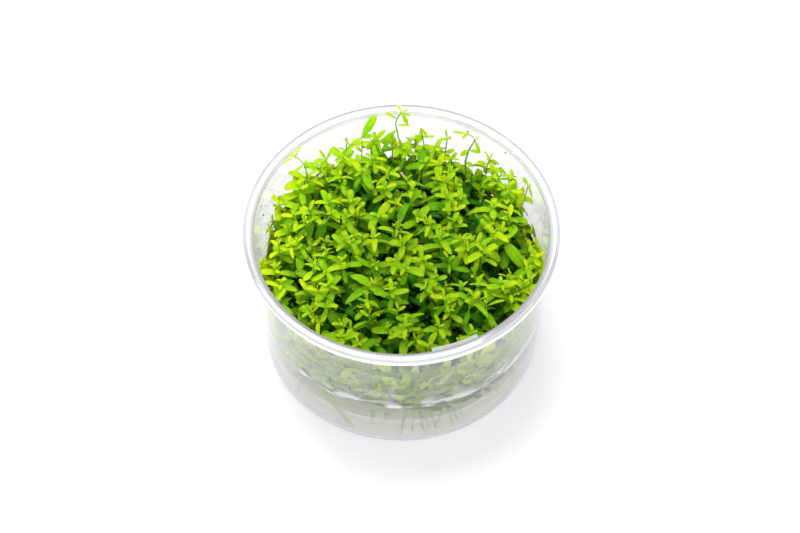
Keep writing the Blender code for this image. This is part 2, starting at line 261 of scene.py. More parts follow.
def clear_polystyrene():
    """Moulded polystyrene: see-through, with a milk-white haze that thickens in the wet wall."""
    material, tree, shader = new_material(
        "clear polystyrene, injection moulded",
        Roughness=0.03,
        IOR=1.59,
        Transmission_Weight=0.8,
    )
    place = add_node(tree, "ShaderNodeTexCoord").outputs["Object"]
    x, y, height = add_node(tree, "ShaderNodeSeparateXYZ", {"Vector": place}).outputs
    sideways = add_node(
        tree, "ShaderNodeVectorMath", {0: place, 1: (1, 1, 0)}, operation="MULTIPLY"
    )
    radius = add_node(tree, "ShaderNodeVectorMath", {0: sideways}, operation="LENGTH")
    share = add_node(
        tree, "ShaderNodeMath", {0: height, 1: 1 / CUP_HEIGHT}, operation="MULTIPLY"
    )
    wall_haze = add_node(tree, "ShaderNodeValToRGB", {"Fac": share}, CUP_HAZE)

    # The top of the rim is a little clearer in front. Its lip is clearer at the back.
    front = add_node(
        tree,
        "ShaderNodeMapRange",
        {"Value": y, "From Min": -FRONT_FROM, "From Max": -FRONT_FULL},
    )
    rim_top = add_node(
        tree,
        "ShaderNodeMapRange",
        {
            "Value": height,
            "From Min": CUP_HEIGHT - RIM_ROUNDING,
            "From Max": CUP_HEIGHT - RIM_ROUNDING / 2,
        },
    )
    front_rim = add_node(tree, "ShaderNodeMath", {0: front, 1: rim_top}, operation="MULTIPLY")
    clearer = add_node(
        tree,
        "ShaderNodeMapRange",
        {"Value": front_rim, "To Min": 1.0, "To Max": 1 - FRONT_RIM_CLARITY},
    )
    rim_haze = add_node(tree, "ShaderNodeMath", {0: wall_haze, 1: clearer}, operation="MULTIPLY")
    lip_haze = add_node(
        tree, "ShaderNodeMapRange", {"Value": front, "To Min": BACK_LIP_HAZE, "To Max": LIP_HAZE}
    )
    lip = add_node(
        tree,
        "ShaderNodeMapRange",
        {
            "Value": radius,
            "From Min": RIM_RADIUS - LIP_DEPTH,
            "From Max": RIM_RADIUS - LIP_FULL,
            "To Min": 0.0,
            "To Max": lip_haze,
        },
    )
    haze = add_node(tree, "ShaderNodeMath", {0: rim_haze, 1: lip}, operation="MAXIMUM")

    # Wet smears on the inside: a thin film, thickest just above the gel. It is broken all round
    # but on the right.
    stretched = add_node(
        tree, "ShaderNodeVectorMath", {0: place, 1: (1, 1, SMEAR_FLATNESS)}, operation="MULTIPLY"
    )
    film = add_node(
        tree,
        "ShaderNodeTexNoise",
        {"Vector": stretched, "Scale": 1 / SMEAR_SIZE, "Detail": 4, "Roughness": 0.55},
    )
    patches = add_node(
        tree,
        "ShaderNodeMapRange",
        {"Value": film, "From Min": SMEAR_EDGE[0], "From Max": SMEAR_EDGE[1]},
    )
    damp = add_node(
        tree,
        "ShaderNodeMapRange",
        {"Value": x, "From Min": DAMP_FROM, "From Max": DAMP_FULL, "To Max": DAMP_SHARE},
    )
    film_share = add_node(
        tree, "ShaderNodeMath", {0: patches, 1: damp}, operation="ADD", use_clamp=True
    )
    wet = add_node(tree, "ShaderNodeValToRGB", {"Fac": share}, CUP_SMEARS)
    smears = add_node(tree, "ShaderNodeMath", {0: wet, 1: film_share}, operation="MULTIPLY")
    milkiness = add_node(tree, "ShaderNodeMath", {0: haze, 1: smears}, operation="ADD")
    clearness = add_node(
        tree, "ShaderNodeMath", {0: 1.0, 1: milkiness}, operation="SUBTRACT", use_clamp=True
    )
    tree.links.new(clearness.outputs["Value"], shader.inputs["Transmission Weight"])

    # Painted shade on the rim: a grey line along its top outer edge, a grey tint on the top of its
    # front half, and a grey cast on the front half of its inside.
    edge_top = add_node(
        tree,
        "ShaderNodeMapRange",
        {
            "Value": height,
            "From Min": CUP_HEIGHT - EDGE_DROP,
            "From Max": CUP_HEIGHT - EDGE_DROP_FULL,
        },
    )
    edge_side = add_node(
        tree,
        "ShaderNodeMapRange",
        {"Value": radius, "From Min": RIM_RADIUS - LIP_DEPTH, "From Max": RIM_RADIUS - EDGE_FULL},
    )
    edge = add_node(tree, "ShaderNodeMath", {0: edge_top, 1: edge_side}, operation="MULTIPLY")
    inner_side = add_node(
        tree,
        "ShaderNodeMapRange",
        {"Value": radius, "From Min": NECK_RADIUS + INNER_SHADE_REACH, "From Max": NECK_RADIUS},
    )
    inside = add_node(tree, "ShaderNodeMath", {0: inner_side, 1: front_rim}, operation="MULTIPLY")
    shaded_top = add_node(
        tree,
        "ShaderNodeMix",
        {"Factor": front_rim, "A": linear(CLEAN_TINT), "B": linear(FRONT_RIM_SHADE_TINT)},
        data_type="RGBA",
    )
    cast = add_node(
        tree,
        "ShaderNodeMix",
        {"Factor": inside, "A": shaded_top, "B": linear(INSIDE_SHADE_TINT)},
        data_type="RGBA",
    )
    tint = add_node(
        tree, "ShaderNodeMix", {"Factor": edge, "A": cast, "B": linear(EDGE_SHADE_TINT)}, data_type="RGBA"
    )
    tree.links.new(tint.outputs["Result"], shader.inputs["Base Color"])
    body = add_node(
        tree, "ShaderNodeVolumeAbsorption", {"Color": linear("#e9e9ec"), "Density": 3.0}
    )
    tree.links.new(body.outputs["Volume"], tree.nodes["Material Output"].inputs["Volume"])
    return material


cup_corners = (
    (0, FLOOR, 0),
    (inner_radius(FLOOR), FLOOR, FLOOR_ROUNDING),
    (inner_radius(CUP_HEIGHT - BEAD_HEIGHT), CUP_HEIGHT - BEAD_HEIGHT, BEAD_ROUNDING),
    (inner_radius(CUP_HEIGHT) - RIM_BEAD, CUP_HEIGHT, RIM_ROUNDING),
    (RIM_RADIUS, CUP_HEIGHT, TOP_ROUNDING),
    (RIM_RADIUS, CUP_HEIGHT - LIP_DROP, EDGE_ROUNDING),
    (RIM_RADIUS - RIM_THICKNESS, CUP_HEIGHT - LIP_DROP, EDGE_ROUNDING),
    (RIM_RADIUS - RIM_THICKNESS, CUP_HEIGHT - RIM_THICKNESS, HOLLOW_ROUNDING),
    (NECK_RADIUS, CUP_HEIGHT - RIM_THICKNESS, EDGE_ROUNDING),
    (outer_radius(0), 0, HEEL_ROUNDING),
    (FOOT_INNER, 0, EDGE_ROUNDING),
    (FOOT_INNER - FOOT_RISE, FOOT_RISE, EDGE_ROUNDING),
    (0, FOOT_RISE, 0),
)
cup_mesh = to_mesh(turned_shape(cup_corners, CUP_STEPS), "cup_body")
catch = add_object("catch", catch_mesh())
bare_cup = add_object("bare_cup", cup_mesh)
join = bare_cup.modifiers.new("catch", "BOOLEAN")
join.operation = "UNION"
join.object = catch
evened = bare_cup.modifiers.new("even shading", "WEIGHTED_NORMAL")
evened.weight = 100
cup_graph = bpy.context.evaluated_depsgraph_get()
joined_mesh = bpy.data.meshes.new_from_object(bare_cup.evaluated_get(cup_graph))
for helper in (catch, bare_cup):
    bpy.data.objects.remove(helper)
joined_mesh.materials.clear()
joined_mesh.materials.append(clear_polystyrene())
add_piece("cup_clear", joined_mesh, ["cup"])


# Gel. Nutrient agar, poured hot and set in the cup, so it fits the floor and climbs the wall.
# It is clear with a slight cloud, and its top is a little uneven where the plantlets were set.
_, gel_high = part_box("gel")
GEL_CLIMB = 0.9 * MM
GEL_TOP = gel_high.z - GEL_CLIMB
GEL_FILM_TOP = 24.2 * MM  # a thin film of gel runs up the wall to this height
GEL_FIT = 0.3 * MM  # between the gel and the plastic
GEL_STEPS = 144
GEL_WAVE = 0.35 * MM
GEL_WAVE_SPACING = 11 * MM
GEL_EDGE_WAVE = 1.3 * MM
GEL_EDGE_SPACING = 6 * MM
GEL_FLOOR_ROUNDING = 1.75 * MM
GEL_TOP_ROUNDING = 0.3 * MM
FILM_ROUNDING = 0.1 * MM
RINGS_ON_TOP = 9
# Share of the film's height, and how clear the gel is there, from black to white, or its colour.
GEL_CLEARNESS = ((0.0, "#505050"), (0.35, "#707070"), (0.7, "#8c8c8c"), (1.0, "#747474"))
GEL_TINTS = ((0.0, "#f8f9ee"), (0.35, "#eef1da"), (0.65, "#e4e9c6"), (1.0, "#dee5b6"))


def agar_gel():
    """Set agar: water clear with a faint straw cloud, soft and wet on top."""
    material, tree, shader = new_material(
        "agar gel, poured",
        Roughness=0.05,
        IOR=1.34,
        Transmission_Weight=0.3,
    )
    place = add_node(tree, "ShaderNodeTexCoord").outputs["Object"]
    height = add_node(tree, "ShaderNodeSeparateXYZ", {"Vector": place}).outputs["Z"]
    share = add_node(
        tree, "ShaderNodeMath", {0: height, 1: 1 / GEL_FILM_TOP}, operation="MULTIPLY"
    )
    # The cloud settles while the gel is hot: it is clearest near the top, and greenest on top.
    clearness = add_node(tree, "ShaderNodeValToRGB", {"Fac": share}, GEL_CLEARNESS)
    tint = add_node(tree, "ShaderNodeValToRGB", {"Fac": share}, GEL_TINTS)
    tree.links.new(clearness.outputs["Color"], shader.inputs["Transmission Weight"])
    tree.links.new(tint.outputs["Color"], shader.inputs["Base Color"])
    body = add_node(
        tree, "ShaderNodeVolumeAbsorption", {"Color": linear("#e2e6d2"), "Density": 8.0}
    )
    tree.links.new(body.outputs["Volume"], tree.nodes["Material Output"].inputs["Volume"])
    return material


top_edge = inner_radius(GEL_FILM_TOP) - GEL_FIT
gel_corners = [
    (0, FLOOR + GEL_FIT, 0),
    (inner_radius(FLOOR) - GEL_FIT, FLOOR + GEL_FIT, GEL_FLOOR_ROUNDING),
    (top_edge, GEL_FILM_TOP, 0),
    (top_edge - 0.5 * GEL_CLIMB, GEL_FILM_TOP - 0.5 * GEL_CLIMB, FILM_ROUNDING),
    (top_edge - GEL_CLIMB, GEL_TOP + GEL_CLIMB, GEL_TOP_ROUNDING),
    (top_edge - 3 * GEL_CLIMB, GEL_TOP, GEL_TOP_ROUNDING),
]
gel_corners += [
    ((top_edge - 4 * GEL_CLIMB) * i / RINGS_ON_TOP, GEL_TOP, 0) for i in range(RINGS_ON_TOP, -1, -1)
]
gel_shape = turned_shape(gel_corners, GEL_STEPS)
for vert in gel_shape.verts:
    flat_top = vert.co.z > GEL_TOP - GEL_WAVE and vert.co.to_2d().length < top_edge - 2 * GEL_CLIMB
    if flat_top:
        vert.co.z += GEL_WAVE * noise.noise(vert.co / GEL_WAVE_SPACING)
    elif vert.co.z > GEL_TOP:
        climb = (vert.co.z - GEL_TOP) / (GEL_FILM_TOP - GEL_TOP)
        vert.co.z -= GEL_EDGE_WAVE * climb * (0.5 + noise.noise(vert.co / GEL_EDGE_SPACING))
gel_mesh = to_mesh(gel_shape, "gel_body")
gel_mesh.materials.append(agar_gel())
add_piece("gel_clear", gel_mesh, ["gel"])


# Plantlets. Pearl weed raised from cuttings: thin soft stems that stand in the gel from wall to
# wall, with small leaves in pairs, each pair square to the last. Young leaves are yellow-green.
# Pale roots run from each plantlet's foot down into the gel.
SEED = 11
GOLDEN_ANGLE = math.pi * (3 - math.sqrt(5))
SHOOTS = 196
STAND_RADIUS = 44.6 * MM
CANOPY_MIDDLE = 53 * MM
CANOPY_WALL = 48.4 * MM
CANOPY_UNEVEN = 2.4 * MM
LOW_SIDE_DIP = 2.6 * MM
LOW_SIDE_FROM = 30 * MM
SHOOT_WANDER = 2.2 * MM
SHOOT_LEAN = math.radians(32)
FOOT_PULL = 0.45  # a shoot's foot stands this share of the way to the middle of its plantlet
FOOT_DEPTH = 1.2 * MM
FOOT_CLEAR = 1.6 * MM  # from the wall
EDGE_DEPTH = 14 * MM  # shoots this near the wall stand more and more upright
STEM_POINTS = 9
STEM_RADIUS = 0.34 * MM
STEM_TAPER = 0.4
SHOOT_STRAIGHT = 0.4  # of its rise, straight up from its foot
SHOOT_BEND = 0.35  # of its rise, along its lean at the tip
LEAF_CLEAR = 0.25 * MM  # kept from the wall and the gel
PRESS_DEPTH = 1.2 * MM  # leaves within this of the wall are pressed along it
# Each pair of leaves on a shoot, from the tip down: its depth below the tip and its leaves' length
# in millimetres, and their rise in degrees.
PAIRS = (
    (0.5, 2.0, 54),
    (1.7, 3.6, 34),
    (3.4, 5.3, 18),
    (5.8, 6.3, 6),
    (8.8, 6.7, -2),
    (12.0, 6.7, -6),
    (15.4, 6.4, -8),
    (18.8, 6.2, -10),
    (22.2, 5.9, -12),
    (25.6, 5.6, -12),
    (29.0, 5.3, -12),
)
PAIR_STRETCH = (0.85, 1.2)  # how much further or closer apart the pairs of one shoot are
PAIR_SIZES = (0.7, 1.28)
PAIR_TWIST = 0.2  # radians, off square to the last
LEAF_SIZES = (0.88, 1.08)
RISE_SPREAD = 11  # degrees
OLD_PAIR = 7  # from this pair down, leaves are fully ripe
LOWEST_PAIR = 2 * MM  # above the gel
LEAF_WIDTH_RANGE = (0.3, 0.46)  # of its length
LEAF_BENDS = (0.5, 2.0)
LEAF_ROLL = 14  # degrees
LEAF_FORMS = (  # widest place, bluntness, droop, fold, sway to one side
    (0.6, 0.38, 0.2, 0.08, 0.0),
    (0.54, 0.44, 0.38, 0.14, 0.1),
    (0.66, 0.36, 0.32, 0.04, -0.14),
    (0.63, 0.34, 0.12, 0.1, 0.05),
    (0.56, 0.38, 0.46, 0.1, -0.06),
    (0.62, 0.56, 0.2, 0.06, 0.04),
)
SPOON = 5  # the leaf form with the narrowest foot
LEAF_RINGS = 8
LEAF_THICKNESS = 0.035
LEAF_TAPER = 0.6  # how much thinner the tip is than the foot
LEAF_FOOT = 0.05  # the least half width of the foot
SET_LEAF_BEND = 0.5
SET_LEAF_AGES = (0.2, 0.6)
SET_LEAF_TINTS = (0.2, 0.7)
WALL_LEAF_BEND = 0.3
WET_LEAF_BEND = 0.05
WET_LEAF_AGES = (0.1, 0.4)
WET_LEAF_TINT = 0.7
SHORT_EVERY = 3  # one shoot in this many is still short
SHORT_BY = (5 * MM, 15 * MM)
LOW_SHOOTS = 90
LOW_SHOOT_HEIGHTS = (26 * MM, 37 * MM)
WALL_SHOOTS = 84
WALL_SHOOT_HEIGHTS = (27 * MM, 44 * MM)
WALL_SHOOT_CLEAR = (1.2 * MM, 4 * MM)
WALL_LEAVES = 950
WALL_LEAF_LOW = 21 * MM
WALL_LEAF_BELOW = 4 * MM  # below the top of the leaves
BACK_THINNING = 12 * MM  # further below it at the sides and the back, where the stand is thin
THINNING_REACH = 1.4  # how far round to the front they thin out
WALL_LEAF_UPRIGHT = 14 * MM  # higher than this above the lowest, they lie any way round
WALL_LEAF_GAPS = (0.5 * MM, 1.6 * MM)
WALL_LEAF_LENGTHS = (4.5 * MM, 9 * MM)
WALL_LEAF_SPREAD = 0.8  # how much brighter or darker one is than the next
WALL_LEAF_EVEN = 0.4  # the tint of one that is as bright as the rest
LIGHT_BACK = 0.4  # painted light: how much brighter leaves are at the back and sides than in the middle
LIGHT_FRONT = -0.12
LIGHT_LEFT = 0.66
LIGHT_RIGHT = 0.36
PAINTED_LIGHT_TINT = 0.7  # how much yellower the painted light makes them too, for each share brighter
SHADE_FROM = 3 * MM  # where the painted shade starts, below the top of the leaves
SHADE_DEPTH = 11 * MM
WALL_LIGHT = 9 * MM  # how far light reaches in through the wall
ROOTS_EACH = 4
ROOT_DEPTHS = (7 * MM, 15 * MM)
ROOT_DRIFT = 4 * MM
ROOT_RADII = (0.18 * MM, 0.34 * MM)
ROOT_POINTS = 7
ROOT_SWAY = 0.4  # degrees of turn, either way
# The roots that show through the front of the wall: turn and height where each starts and ends.
ROOTS_AT_WALL = (
    (-122, 21, -111, 3.5), (-119, 21, -110, 5), (-101, 20, -102, 12), (-96, 20, -96.5, 13),
    (-88, 23, -90.5, 3), (-85, 21, -85.5, 7), (-83, 22, -80, 2.5), (-81, 21, -79, 9),
    (-78, 20, -75.5, 6), (-73, 20, -75, 10), (-72, 19, -68, 5), (-70, 19, -66, 8),
    (-66, 20, -65, 11),
)
ROOTS_ROUND = (-50, 230, 11)  # the others round the wall: first turn, last turn, step
ROUND_ROOT_TOP = 21
ROUND_ROOT_ENDS = (4, 14)
ROUND_ROOT_SLANT = 5
WALL_ROOT_RADIUS = 0.58 * MM
WALL_ROOT_FLATNESS = 0.24
IN_THE_GAP = 0.15 * MM  # from the wall, halfway to the gel
# Leaves caught between the gel and the wall: turn, height, lean in degrees, length and width.
WET_LEAVES = (
    (-110.3, 24, -60, 4.4, 1.8), (-124, 22.6, -18, 5, 1.1), (-120, 22.4, -14, 6, 1.2),
    (-133, 24, -30, 4, 1.6), (-135, 22.5, -70, 3, 1.5), (-104, 25.6, 0, 9, 2.6),
    (-90, 23.4, -10, 4, 2.2), (-87, 22.4, -15, 5, 2.4), (-83, 22, 4, 6, 2.2),
    (-79, 21, 30, 5, 2.0), (-78, 23.6, 12, 7, 2.4), (-76, 21, 26, 6, 2.4), (-73, 23, 14, 7, 2.6),
    (-70, 21.6, 20, 7, 2.4), (-68, 24.6, 8, 6, 2.2), (-66, 22.6, 30, 6, 2.4),
    (-63, 21.2, 0, 6, 2.6), (-62, 24, 20, 6, 2.2), (-60, 20.4, 50, 5, 2.0),
    (-58, 22.6, -20, 6, 2.6), (-55, 21.6, 60, 6, 2.2), (-53, 24, 40, 6, 2.4),
    (-50, 26, 66, 7, 1.8), (-46, 24, 80, 5, 2.0),
)
# Flecks of leaf that cling to the dry wall: turn and height.
FLECKS = ((166.3, 56), (165.5, 51.7), (164.8, 46.7), (10, 52.3), (7.4, 48.1), (43.1, 54.4))
FLECK_LENGTH = 1.4 * MM
WET_DARKNESS = 0.38
DRY, ON_WALL, WET = range(3)  # how a leaf lies
AGE_COLOURS = ((0.0, "#a8c606"), (0.35, "#7cb606"), (0.7, "#409e06"), (1.0, "#188206"))
LEAF_COLOURS = ((0.0, "#268806"), (0.35, "#5ca606"), (0.75, "#90bc06"), (1.0, "#bcd00a"))
LEAF_COLOUR_SHARE = 0.42  # of a leaf's own colour over that of its age
# Painted shade: the dark green that leaves deep under the top of the leaves are mixed towards.
SHADE_COLOUR = "#0a7010"
TIP_COLOUR = "#cad610"
TIP_FROM = 0.55  # of the leaf's length
TIP_RIPENESS = 0.25
OLD_AGE = 0.75  # no ripe tip from here
YOUNG_AGE = 0.1  # and all of it up to here
VEIN_COLOUR = "#b4d838"
MIDRIB_WIDTH = 0.3  # of the leaf's width
MIDRIB_SHARE = 0.28
SIDE_VEIN_SHARE = 0.12
SIDE_VEIN_SLANT = 0.35
VEIN_CLOSENESS = 44.0  # radians of vein waves from foot to tip
VEIN_RELIEF = 0.06 * MM
MOTTLE_SIZE = 1.4 * MM
MOTTLE_RANGE = (0.3, 0.7)
MOTTLE_LIGHTNESS = (0.79, 1.06)
LEAF_ROUGHNESS = (0.34, 0.55)
STEM_PATCHES = 3 * MM
ROOT_PATCHES = 4 * MM
STEM_COLOURS = ((0.3, "#66a81c"), (0.55, "#94c22e"), (0.75, "#b6d256"))
ROOT_COLOURS = ((0.35, "#9cba44"), (0.7, "#c4d680"))
SIDE_SHOOT_CHANCE = 0.11
SIDE_SHOOT_FROM = 3  # the first pair with side shoots
SIDE_SHOOT_PAIRS = 3
SIDE_SHOOT_LENGTHS = (2.2 * MM, 5.5 * MM)
SIDE_SHOOT_LEAN = (0.5, 1.1)
SIDE_SHOOT_ELBOW = 0.6  # of its length, where it turns upward
SIDE_SHOOT_SIZES = (0.55, 0.75)


def leaf_form(name, widest, bluntness, droop, fold, sway):
    """A blade from its foot at the origin to its tip at 1 on X, drawn from a long round ball."""
    shape = bmesh.new()
    lie_along_x = Matrix.Rotation(math.pi / 2, 4, "Y")
    bmesh.ops.create_uvsphere(
        shape, u_segments=4, v_segments=LEAF_RINGS, radius=1, matrix=lie_along_x
    )
    blade = shape.verts.layers.float_vector.new("blade")
    foot_power = widest / (1 - widest) * bluntness
    peak = widest**foot_power * (1 - widest) ** bluntness
    for vert in shape.verts:
        along = (vert.co.x + 1) / 2
        spread = math.hypot(vert.co.y, vert.co.z)
        across, up = (vert.co.y / spread, vert.co.z / spread) if spread > WELD else (0, 0)
        half_width = 0.5 * (along**foot_power * (1 - along) ** bluntness / peak)
        half_width = max(half_width, LEAF_FOOT * (1 - along))
        vert[blade] = (across, along, 0)
        height = up * LEAF_THICKNESS * (1 - LEAF_TAPER * along) - droop * along**2
        height += fold * abs(across) * half_width * 2
        vert.co = (along, across * half_width + sway * along**2, height)
    # The blade is sharp along its two sides.
    for edge in shape.edges:
        edge.smooth = not all(abs(vert[blade].x) > 0.9 for vert in edge.verts)
    bmesh.ops.recalc_face_normals(shape, faces=shape.faces)
    return to_mesh(shape, name)


leaf_forms = [leaf_form(f"leaf_form_{i}", *form) for i, form in enumerate(LEAF_FORMS)]


def spiral(count, radius):
    """Places spread evenly over a disc, each a golden angle on from the last."""
    places = []
    for i in range(count):
        distance = radius * math.sqrt((i + 0.5) / count)
        places.append(Vector((distance, 0)))
        places[-1].rotate(Matrix.Rotation(i * GOLDEN_ANGLE, 2))
    return places


def canopy_height(place):
    share = place.length / STAND_RADIUS
    height = CANOPY_MIDDLE + (CANOPY_WALL - CANOPY_MIDDLE) * share**2
    dip = max(0, -place.x - LOW_SIDE_FROM) / (STAND_RADIUS - LOW_SIDE_FROM)
    return height - LOW_SIDE_DIP * dip


def pressed(distance, limit):
    """A distance kept under its limit, squeezed over the last stretch before it."""
    start = limit - PRESS_DEPTH
    if distance <= start:
        return distance
    return start + PRESS_DEPTH * (1 - math.exp(-(distance - start) / PRESS_DEPTH))


def clear_radius(height):
    """The inside radius at a height, less the bead of the rim where it stands in."""
    height = min(height, CUP_HEIGHT)
    return inner_radius(height) - RIM_BEAD * max(0, 1 - (CUP_HEIGHT - height) / BEAD_HEIGHT)


def keep_inside(point):
    """The point, moved in from the wall or the bead of the rim where it would pass through it."""
    if point.z > CUP_HEIGHT + PRESS_DEPTH:
        return point
    distance = point.to_2d().length
    limit = clear_radius(point.z) - LEAF_CLEAR
    share = pressed(distance, limit) / max(distance, WELD)
    return Vector((point.x * share, point.y * share, point.z))


def back_from_tip(line, depth):
    """The point this far down a stem from its tip, and the stem's direction there."""
    for upper, lower in zip(line[::-1], line[-2::-1]):
        stretch = upper - lower
        if depth <= stretch.length:
            return upper - stretch.normalized() * depth, stretch.normalized()
        depth -= stretch.length
    return None


def leaf_place(foot, along, across, upward):
    """The matrix that lays a leaf form from its foot along three directions."""
    return Matrix.Translation(foot) @ Matrix((along, across, upward)).transposed().to_4x4()


class Growth:
    """Stems and leaves of one plantlet, gathered before its mesh is made."""

    def __init__(self, chance):
        self.chance = chance
        self.lines = []
        self.leaves = [[] for _ in leaf_forms]
        self.roots = []
        self.wall_roots = []

    def add_leaf(self, point, stem_way, side_way, rise, length, age):
        """A leaf on a stem, turned up by its rise and rolled a little to one side."""
        width = length * self.chance.uniform(*LEAF_WIDTH_RANGE)
        bend = length * self.chance.uniform(*LEAF_BENDS)
        roll = math.radians(self.chance.gauss(0, LEAF_ROLL))
        outward = side_way * math.cos(rise) + stem_way * math.sin(rise)
        upward = stem_way * math.cos(rise) - side_way * math.sin(rise)
        upward.rotate(Matrix.Rotation(roll, 3, outward))
        across = upward.cross(outward)
        place = leaf_place(point, outward * length, across * width, upward * bend)
        form = self.chance.randrange(len(leaf_forms))
        self.leaves[form].append((place, age, self.chance.random(), DRY))

    def add_set_leaf(self, foot, tip, width, form):
        """A leaf from its foot to its tip, its face turned up and a little to the front."""
        way = tip - foot
        upward = Vector((0, -0.5, 1))
        upward = (upward - upward.project(way)).normalized()
        bend = way.length * SET_LEAF_BEND
        outward = way + upward * LEAF_FORMS[form][2] * bend
        upward = (upward - upward.project(outward)).normalized()
        across = upward.cross(outward.normalized())
        place = leaf_place(foot, outward, across * width, upward * bend)
        age = self.chance.uniform(*SET_LEAF_AGES)
        self.leaves[form].append((place, age, self.chance.uniform(*SET_LEAF_TINTS), DRY))

    def add_wall_leaf(self, turn, height):
        """A leaf that lies flat against the wall, its face to the outside."""
        chance = self.chance
        outward = way_at(turn)
        foot = outward * (inner_radius(height) - chance.uniform(*WALL_LEAF_GAPS))
        foot.z = height
        way = Vector((-outward.y, outward.x, 0))
        most_lean = math.pi * min(1, max(0, height - WALL_LEAF_LOW) / WALL_LEAF_UPRIGHT)
        turned = chance.uniform(-most_lean, most_lean) + chance.choice((0, math.pi))
        way.rotate(Matrix.Rotation(turned, 3, outward))
        length = chance.uniform(*WALL_LEAF_LENGTHS)
        width = length * chance.uniform(*LEAF_WIDTH_RANGE)
        upward = outward * length * WALL_LEAF_BEND
        place = leaf_place(foot, way * length, outward.cross(way) * width, upward)
        form = chance.randrange(len(leaf_forms))
        # Age 0 paints it the pale young colour, as painted light from the wall.
        self.leaves[form].append((place, 0, chance.random(), ON_WALL))

    def add_wet_leaf(self, turn, height, lean, length, width):
        """A leaf that lies in the gap between the wall and the gel."""
        outward = way_at(turn)
        way = Vector((-outward.y, outward.x, 0))
        way.rotate(Matrix.Rotation(lean, 3, -outward))
        foot = outward * inner_radius(height) + Vector((0, 0, height))
        upward = outward * length * WET_LEAF_BEND
        place = leaf_place(foot, way * length, outward.cross(way) * width, upward)
        age = self.chance.uniform(*WET_LEAF_AGES)
        self.leaves[0].append((place, age, WET_LEAF_TINT, WET))

    def add_root(self, start):
        """A root that wanders down into the gel."""
        chance = self.chance
        drift = Vector((chance.uniform(-1, 1), chance.uniform(-1, 1), 0)) * ROOT_DRIFT
        depth = chance.uniform(*ROOT_DEPTHS)
        bend = Vector((chance.uniform(-1, 1), chance.uniform(-1, 1), 0)) * ROOT_DRIFT / 2
        end = start + drift - Vector((0, 0, depth))
        middle = start.lerp(end, 0.5)
        line = interpolate_bezier(start, middle + bend, middle - bend, end, ROOT_POINTS)
        self.roots.append(([Vector(point) for point in line], chance.uniform(*ROOT_RADII)))

    def add_shoot(self, line, pairs, size=1.0):
        """A stem with its pairs of leaves from the tip down, and side shoots from their axils."""
        chance = self.chance
        self.lines.append((line, STEM_RADIUS * size))
        turn = chance.uniform(0, math.tau)
        stretch = chance.uniform(*PAIR_STRETCH) * size
        for i, (depth, pair_length, pair_rise) in enumerate(PAIRS[:pairs]):
            found = back_from_tip(line, depth * MM * stretch)
            if found is None or found[0].z < GEL_TOP + LOWEST_PAIR:
                break
            point, stem_way = found
            level = Vector((-stem_way.y, stem_way.x, 0))
            side = level.normalized() if level.length > 0.01 else Vector((1, 0, 0))
            twist = turn + i * math.pi / 2 + chance.gauss(0, PAIR_TWIST)
            side.rotate(Matrix.Rotation(twist, 3, stem_way))
            pair_size = size * chance.uniform(*PAIR_SIZES)
            for way in (side, -side):
                rise = math.radians(pair_rise) + math.radians(chance.gauss(0, RISE_SPREAD))
                length = pair_length * MM * pair_size * chance.uniform(*LEAF_SIZES)
                self.add_leaf(point, stem_way, way, rise, length, min(1, i / OLD_PAIR))
                has_side_shoots = size == 1.0 and i >= SIDE_SHOOT_FROM
                if has_side_shoots and chance.random() < SIDE_SHOOT_CHANCE:
                    self.add_side_shoot(point, stem_way, way)

    def add_side_shoot(self, point, stem_way, way):
        chance = self.chance
        length = chance.uniform(*SIDE_SHOOT_LENGTHS)
        outward = (way * chance.uniform(*SIDE_SHOOT_LEAN) + stem_way).normalized()
        elbow = point + outward * length * SIDE_SHOOT_ELBOW
        tip = elbow + (outward + stem_way).normalized() * length * (1 - SIDE_SHOOT_ELBOW)
        self.add_shoot([point, elbow, tip], SIDE_SHOOT_PAIRS, chance.uniform(*SIDE_SHOOT_SIZES))


def stem_mesh(lines, material_index, settle=keep_inside):
    """Tapered round stems along their lines, as one mesh."""
    curve = bpy.data.curves.new("stems", "CURVE")
    curve.dimensions = "3D"
    curve.bevel_depth = 1
    curve.bevel_resolution = 0
    curve.use_fill_caps = True
    for line, radius in lines:
        spline = curve.splines.new("POLY")
        spline.points.add(len(line) - 1)
        for i, (spot, point) in enumerate(zip(spline.points, line)):
            spot.co = (*settle(point), 1)
            spot.radius = radius * (1 - STEM_TAPER * i / (len(line) - 1))
    holder = add_object("stems", curve)
    graph = bpy.context.evaluated_depsgraph_get()
    mesh = bpy.data.meshes.new_from_object(holder.evaluated_get(graph))
    bpy.data.objects.remove(holder)
    for polygon in mesh.polygons:
        polygon.material_index = material_index
        polygon.use_smooth = True
    return mesh


def press_to_wall(mesh):
    """Flattens roots that run between the wall and the gel."""
    for vertex in mesh.vertices:
        middle = inner_radius(vertex.co.z) - IN_THE_GAP
        distance = vertex.co.to_2d().length
        share = (middle + (distance - middle) * WALL_ROOT_FLATNESS) / distance
        vertex.co.x *= share
        vertex.co.y *= share
    return mesh


def on_wall(place, corner):
    """A corner of a wet leaf, bent to the curve of the wall."""
    outward = place.col[2].to_3d().normalized()
    spot = place @ corner
    depth = (spot - place.translation).dot(outward)
    around = spot.to_2d().normalized() * (clear_radius(spot.z) - IN_THE_GAP + depth)
    return Vector((around.x, around.y, spot.z))


def painted_sunlight(spot):
    """How much brighter leaves are painted here, as painted light: most at the back and the sides.
    """
    side = LIGHT_LEFT if spot.x < 0 else LIGHT_RIGHT
    back = LIGHT_BACK if spot.y > 0 else LIGHT_FRONT
    return (side * spot.x**2 + back * spot.y**2) / STAND_RADIUS**2


def wall_light(spot):
    """How much light reaches a place through the wall: 1 at the wall, 0 further in."""
    from_wall = inner_radius(min(spot.z, CUP_HEIGHT)) - spot.to_2d().length
    return max(0, min(1, 1 - from_wall / WALL_LIGHT))


def shade(spot):
    """How deep a place lies in the shade of the leaves, for painted shade: 0 in the light, 1 deep
    down.
    """
    below = canopy_height(spot.to_2d()) - SHADE_FROM - spot.z
    return max(0, min(1, below / SHADE_DEPTH)) * (1 - wall_light(spot))


